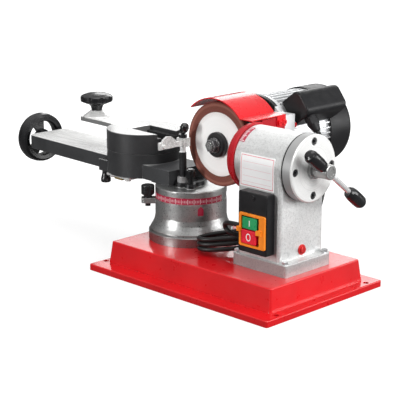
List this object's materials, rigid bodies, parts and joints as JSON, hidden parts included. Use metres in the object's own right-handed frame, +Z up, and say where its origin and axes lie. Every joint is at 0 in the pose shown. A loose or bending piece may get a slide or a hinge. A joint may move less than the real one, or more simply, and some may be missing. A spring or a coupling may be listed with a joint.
{
  "type": "saw blade sharpener",
  "caption": "Bench grinder for sharpening toothed blades: motor head with dish wheel and guard on a column, swivelling slide arm with screw-fed carriage and a blade clamp bar.",
  "frame": {"origin": "centre of the base footprint on the bench surface", "axes": "+Z up, +X towards the feed handle, -Y towards the operator and +Y along the motor"},
  "size_m": [0.6828, 0.3665, 0.2699],
  "materials": {
    "red_paint": "gloss red enamel over pressed and cast steel",
    "grey_casting": "silver grey machine paint over cast iron",
    "dark_casting": "dark grey paint on the sides, ground bright on top",
    "ground_steel": "turned and ground steel",
    "fastener_steel": "plated steel",
    "black_screws": "blackened steel",
    "bronze": "cast bronze",
    "black_plastic": "moulded black phenolic",
    "matte_black": "moulded black plastic with a fine grain",
    "orange_plastic": "moulded orange plastic",
    "green_plastic": "moulded green plastic",
    "red_plastic": "moulded red plastic",
    "motor_aluminium": "die cast aluminium",
    "black_flange": "blackened steel",
    "lamination": "laminated iron and copper winding",
    "wheel_core": "pale pressed core",
    "abrasive": "resin bonded brown-red abrasive",
    "plate": "printed aluminium plate",
    "scale_red": "printed red scale tape",
    "cord": "black rubber sheath"
  },
  "bodies": {
    "base": {"base_tray": "red_paint", "mounting_bolts": "fastener_steel", "pedestal": "grey_casting", "scale_plates": "scale_red", "column": "grey_casting", "nameplate": "plate", "end_cover": "grey_casting", "cover_screws": "black_screws", "switch_box": "matte_black", "switch_frame": "orange_plastic", "contact_block": "matte_black", "power_cord": "cord", "motor_cord": "cord"},
    "turn": {"turntable": "grey_casting", "turntable_scale": "scale_red", "pivot_bolt": "ground_steel", "slide_arm": "dark_casting", "stop_post": "ground_steel", "stop_head": "ground_steel"},
    "turntable_lock": {"turntable_lock_knob": "black_plastic"},
    "post_clamp": {"post_clamp_knob": "black_plastic"},
    "lever": {"stop_lever": "black_plastic"},
    "finger": {"stop_finger": "ground_steel"},
    "lead": {"leadscrew": "ground_steel", "handwheel": "black_plastic"},
    "carriage": {"carriage_base": "ground_steel", "blade_table": "ground_steel", "carriage_keeps": "ground_steel", "leadscrew_nut": "bronze"},
    "carriage_lock": {"carriage_lock_knob": "black_plastic"},
    "bar": {"blade_bar": "ground_steel", "centring_cone": "ground_steel"},
    "blade_clamp": {"clamp_knob": "black_plastic"},
    "feed": {"feed_screw": "ground_steel", "feed_hub": "ground_steel"},
    "tommy": {"tommy_bar": "fastener_steel", "handle_grips": "black_plastic"},
    "quill": {"quill": "ground_steel", "feed_nut": "bronze"},
    "head": {"head_bracket": "red_paint", "wheel_guard": "red_paint", "head_screws": "fastener_steel", "front_shield": "motor_aluminium", "motor_bearings": "ground_steel", "motor_housing": "motor_aluminium", "stator": "lamination", "rear_shield": "motor_aluminium", "fan_cowl": "matte_black", "capacitor_box": "matte_black", "capacitor": "motor_aluminium", "cable_gland": "matte_black"},
    "spindle": {"motor_shaft": "ground_steel", "rotor": "lamination", "cooling_fan": "matte_black", "wheel_flanges": "black_flange", "wheel_body": "wheel_core", "abrasive_ring": "abrasive", "wheel_nut": "fastener_steel"},
    "start": {"start_button": "green_plastic"},
    "stop": {"stop_button": "red_plastic"}
  },
  "joints": [
    {"name": "turntable_swivel", "type": "hinge", "parent": "base", "child": "turn", "pos_m": [-0.094, 0.007, 0.105], "axis": [0, 0, 1], "range_deg": [-20, 20]},
    {"name": "turntable_lock", "type": "hinge", "parent": "base", "child": "turntable_lock", "pos_m": [-0.1401, -0.0391, 0.1], "axis": [0, 0, 1], "range_deg": [-180, 180]},
    {"name": "post_clamp", "type": "hinge", "parent": "turn", "child": "post_clamp", "pos_m": [-0.076, -0.0118, 0.13], "axis": [0, 0, 1], "range_deg": [-180, 180]},
    {"name": "stop_lever_turn", "type": "hinge", "parent": "turn", "child": "lever", "pos_m": [-0.093, -0.011, 0.2], "axis": [0, 0, 1], "range_deg": [-90, 20]},
    {"name": "stop_finger_slide", "type": "slide", "parent": "turn", "child": "finger", "axis": [0, 1, 0], "range_m": [-0.002, 0.006]},
    {"name": "carriage_slide", "type": "slide", "parent": "turn", "child": "carriage", "axis": [-0.9988, 0.05, 0], "range_m": [-0.02, 0.17]},
    {"name": "leadscrew_turn", "type": "hinge", "parent": "turn", "child": "lead", "pos_m": [-0.09385, 0.01, 0.1355], "axis": [-0.9988, 0.05, 0], "range_deg": [-12260, 1460]},
    {"name": "carriage_lock", "type": "hinge", "parent": "carriage", "child": "carriage_lock", "pos_m": [-0.24894, -0.0279, 0.125], "axis": [0, 0, 1], "range_deg": [-180, 180]},
    {"name": "bar_slide", "type": "slide", "parent": "carriage", "child": "bar", "axis": [-0.9988, 0.05, 0], "range_m": [-0.06, 0.03]},
    {"name": "blade_clamp_turn", "type": "hinge", "parent": "bar", "child": "blade_clamp", "pos_m": [-0.32536, 0.02158, 0.2], "axis": [0, 0, 1], "range_deg": [-180, 180]},
    {"name": "quill_feed", "type": "slide", "parent": "base", "child": "quill", "axis": [1, 0, 0], "range_m": [-0.02, 0], "deforming": ["motor_cord"]},
    {"name": "feed_screw_turn", "type": "hinge", "parent": "base", "child": "feed", "pos_m": [0.12, 0, 0.191], "axis": [1, 0, 0], "range_deg": [-10, 1460]},
    {"name": "tommy_slide", "type": "slide", "parent": "feed", "child": "tommy", "axis": [0, -0.7953, 0.6062], "range_m": [0, 0.048]},
    {"name": "head_tilt", "type": "hinge", "parent": "quill", "child": "head", "pos_m": [0.037, 0, 0.191], "axis": [1, 0, 0], "range_deg": [-10, 10]},
    {"name": "spindle_spin", "type": "hinge", "parent": "head", "child": "spindle", "pos_m": [-0.036, 0, 0.195], "axis": [0, 1, 0], "continuous": true},
    {"name": "start_press", "type": "slide", "parent": "base", "child": "start", "axis": [0, 1, 0], "range_m": [0, 0.0025]},
    {"name": "stop_press", "type": "slide", "parent": "base", "child": "stop", "axis": [0, 1, 0], "range_m": [0, 0.0025]}
  ],
  "couplings": [
    {"joint": "leadscrew_turn", "follows": "carriage_slide", "rad_per_m": -1256.6},
    {"joint": "feed_screw_turn", "follows": "quill_feed", "rad_per_m": -1256.6}
  ]
}
